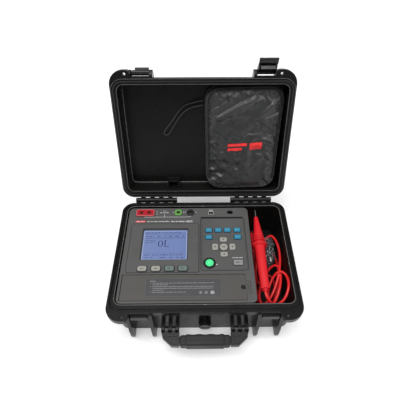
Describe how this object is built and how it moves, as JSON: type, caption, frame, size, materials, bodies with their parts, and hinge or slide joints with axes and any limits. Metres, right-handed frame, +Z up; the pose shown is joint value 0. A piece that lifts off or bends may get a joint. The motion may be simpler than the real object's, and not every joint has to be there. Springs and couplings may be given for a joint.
{
  "type": "insulation resistance tester",
  "caption": "High-voltage insulation resistance tester built into a rugged hinged carry case, with keypad, display, probe bay and lid pouch.",
  "frame": {"origin": "centre of the base's flat underside", "axes": "+Z up, -Y towards the handle and the operator, +X to the operator's right"},
  "size_m": [0.41, 0.5125, 0.4402],
  "materials": {
    "black_shell": "moulded black polypropylene with a fine texture",
    "black_trim": "satin black nylon",
    "black_rubber": "soft black rubber",
    "steel": "drawn steel",
    "brass": "turned brass",
    "panel_grey": "dark warm grey textured plastic",
    "door_grey": "dark warm grey textured plastic",
    "label_film": "printed polyester film",
    "clear_window": "clear acrylic",
    "lcd": "backlit blue display",
    "board_green": "solder-masked circuit board",
    "mat_grey": "silicone keypad",
    "transformer": "varnished windings",
    "battery_wrap": "plain cell wrapper",
    "terminal_red": "red moulded plastic",
    "jack_green": "green moulded plastic",
    "jack_black": "black moulded plastic",
    "key_cream": "cream silicone",
    "key_mint": "pale green silicone",
    "key_blue": "blue silicone",
    "key_grey": "grey silicone",
    "test_green": "lit green lens",
    "pouch_nylon": "black coated nylon",
    "strap_cord": "black woven cord",
    "probe_red": "red moulded plastic",
    "lead_silicone": "red silicone",
    "clear_bag": "clear polythene film",
    "clip_black": "black vinyl boots"
  },
  "bodies": {
    "case": {"case_base": "black_shell", "handle_pins": "steel", "instrument_housing": "black_trim", "front_panel": "panel_grey", "display_window": "clear_window", "lcd_module": "lcd", "main_board": "board_green", "keypad_mat": "mat_grey", "hv_transformer": "transformer", "battery_tray": "black_trim", "battery_cells": "battery_wrap", "battery_contacts": "steel", "housing_screws": "steel", "line_terminal_block": "terminal_red", "guard_jack": "jack_green", "earth_jack": "jack_black", "terminal_contacts": "brass", "data_port": "black_trim", "power_socket": "black_trim", "test_ring": "black_trim", "probe_body": "probe_red", "probe_needle": "steel", "red_lead": "lead_silicone", "red_lead_coil": "lead_silicone", "lead_plug": "probe_red", "accessory_bag": "clear_bag", "crocodile_clips": "clip_black"},
    "lid": {"case_lid": "black_shell", "lid_seal": "black_rubber", "lid_pins": "steel", "pouch": "pouch_nylon", "wrist_strap": "strap_cord"},
    "latch_left": {"latch_lever_left": "black_trim"},
    "latch_right": {"latch_lever_right": "black_trim"},
    "hook_left": {"latch_hook_left": "black_trim"},
    "hook_right": {"latch_hook_right": "black_trim"},
    "handle": {"handle_frame": "black_trim", "handle_grip": "black_rubber"},
    "valve": {"valve_knob": "black_trim"},
    "door": {"battery_door": "door_grey", "door_label": "label_film"},
    "lock": {"battery_lock": "black_trim"},
    "softkey_1": {"softkey_1": "key_cream"},
    "softkey_2": {"softkey_2": "key_cream"},
    "softkey_3": {"softkey_3": "key_mint"},
    "softkey_4": {"softkey_4": "key_mint"},
    "blue_key_1": {"blue_key_1": "key_blue"},
    "blue_key_2": {"blue_key_2": "key_blue"},
    "blue_key_3": {"blue_key_3": "key_blue"},
    "blue_key_4": {"blue_key_4": "key_blue"},
    "blue_key_5": {"blue_key_5": "key_blue"},
    "blue_key_6": {"blue_key_6": "key_blue"},
    "arrow_up": {"arrow_up": "key_cream"},
    "arrow_down": {"arrow_down": "key_cream"},
    "arrow_left": {"arrow_left": "key_cream"},
    "arrow_right": {"arrow_right": "key_cream"},
    "ok_key": {"ok_key": "key_cream"},
    "test_button": {"test_button": "test_green"},
    "power_key": {"power_key": "key_grey"}
  },
  "joints": [
    {"name": "lid_hinge", "type": "hinge", "parent": "case", "child": "lid", "pos_m": [0, 0.1555, 0.112], "axis": [1, 0, 0], "range_deg": [0, 110]},
    {"name": "latch_left_swing", "type": "hinge", "parent": "lid", "child": "latch_left", "pos_m": [0, 0.2769, 0.39877], "axis": [-1, 0, 0], "range_deg": [-183, 0]},
    {"name": "hook_left_swing", "type": "hinge", "parent": "latch_left", "child": "hook_left", "pos_m": [0, 0.29263, 0.39231], "axis": [1, 0, 0], "range_deg": [0, 14]},
    {"name": "latch_right_swing", "type": "hinge", "parent": "lid", "child": "latch_right", "pos_m": [0, 0.2769, 0.39877], "axis": [-1, 0, 0], "range_deg": [-35, 150]},
    {"name": "hook_right_swing", "type": "hinge", "parent": "latch_right", "child": "hook_right", "pos_m": [0, 0.26699, 0.41258], "axis": [1, 0, 0], "range_deg": [0, 14]},
    {"name": "handle_fold", "type": "hinge", "parent": "case", "child": "handle", "pos_m": [0, -0.1605, 0.058], "axis": [1, 0, 0], "range_deg": [-30, 65]},
    {"name": "valve_turn", "type": "hinge", "parent": "case", "child": "valve", "pos_m": [0, -0.1465, 0.045], "axis": [0, -1, 0], "range_deg": [0, 180]},
    {"name": "battery_door_lift", "type": "hinge", "parent": "case", "child": "door", "pos_m": [-0.1795, -0.08825, 0.10745], "axis": [0, 1, 0], "range_deg": [-70, 0]},
    {"name": "battery_lock_turn", "type": "hinge", "parent": "door", "child": "lock", "pos_m": [0.0835, -0.0893, 0.107], "axis": [0, 0, 1], "range_deg": [0, 90]},
    {"name": "softkey_1_press", "type": "slide", "parent": "case", "child": "softkey_1", "axis": [0, 0, -1], "range_m": [0, 0.0012], "stiffness_N_per_m": 500, "springref_m": -0.0006},
    {"name": "softkey_2_press", "type": "slide", "parent": "case", "child": "softkey_2", "axis": [0, 0, -1], "range_m": [0, 0.0012], "stiffness_N_per_m": 500, "springref_m": -0.0006},
    {"name": "softkey_3_press", "type": "slide", "parent": "case", "child": "softkey_3", "axis": [0, 0, -1], "range_m": [0, 0.0012], "stiffness_N_per_m": 500, "springref_m": -0.0006},
    {"name": "softkey_4_press", "type": "slide", "parent": "case", "child": "softkey_4", "axis": [0, 0, -1], "range_m": [0, 0.0012], "stiffness_N_per_m": 500, "springref_m": -0.0006},
    {"name": "blue_key_1_press", "type": "slide", "parent": "case", "child": "blue_key_1", "axis": [0, 0, -1], "range_m": [0, 0.0012], "stiffness_N_per_m": 500, "springref_m": -0.0006},
    {"name": "blue_key_2_press", "type": "slide", "parent": "case", "child": "blue_key_2", "axis": [0, 0, -1], "range_m": [0, 0.0012], "stiffness_N_per_m": 500, "springref_m": -0.0006},
    {"name": "blue_key_3_press", "type": "slide", "parent": "case", "child": "blue_key_3", "axis": [0, 0, -1], "range_m": [0, 0.0012], "stiffness_N_per_m": 500, "springref_m": -0.0006},
    {"name": "blue_key_4_press", "type": "slide", "parent": "case", "child": "blue_key_4", "axis": [0, 0, -1], "range_m": [0, 0.0012], "stiffness_N_per_m": 500, "springref_m": -0.0006},
    {"name": "blue_key_5_press", "type": "slide", "parent": "case", "child": "blue_key_5", "axis": [0, 0, -1], "range_m": [0, 0.0012], "stiffness_N_per_m": 500, "springref_m": -0.0006},
    {"name": "blue_key_6_press", "type": "slide", "parent": "case", "child": "blue_key_6", "axis": [0, 0, -1], "range_m": [0, 0.0012], "stiffness_N_per_m": 500, "springref_m": -0.0006},
    {"name": "arrow_up_press", "type": "slide", "parent": "case", "child": "arrow_up", "axis": [0, 0, -1], "range_m": [0, 0.0012], "stiffness_N_per_m": 500, "springref_m": -0.0006},
    {"name": "arrow_down_press", "type": "slide", "parent": "case", "child": "arrow_down", "axis": [0, 0, -1], "range_m": [0, 0.0012], "stiffness_N_per_m": 500, "springref_m": -0.0006},
    {"name": "arrow_left_press", "type": "slide", "parent": "case", "child": "arrow_left", "axis": [0, 0, -1], "range_m": [0, 0.0012], "stiffness_N_per_m": 500, "springref_m": -0.0006},
    {"name": "arrow_right_press", "type": "slide", "parent": "case", "child": "arrow_right", "axis": [0, 0, -1], "range_m": [0, 0.0012], "stiffness_N_per_m": 500, "springref_m": -0.0006},
    {"name": "ok_key_press", "type": "slide", "parent": "case", "child": "ok_key", "axis": [0, 0, -1], "range_m": [0, 0.0012], "stiffness_N_per_m": 500, "springref_m": -0.0006},
    {"name": "test_button_press", "type": "slide", "parent": "case", "child": "test_button", "axis": [0, 0, -1], "range_m": [0, 0.0012], "stiffness_N_per_m": 500, "springref_m": -0.0006},
    {"name": "power_key_press", "type": "slide", "parent": "case", "child": "power_key", "axis": [0, 0, -1], "range_m": [0, 0.0012], "stiffness_N_per_m": 500, "springref_m": -0.0006}
  ]
}
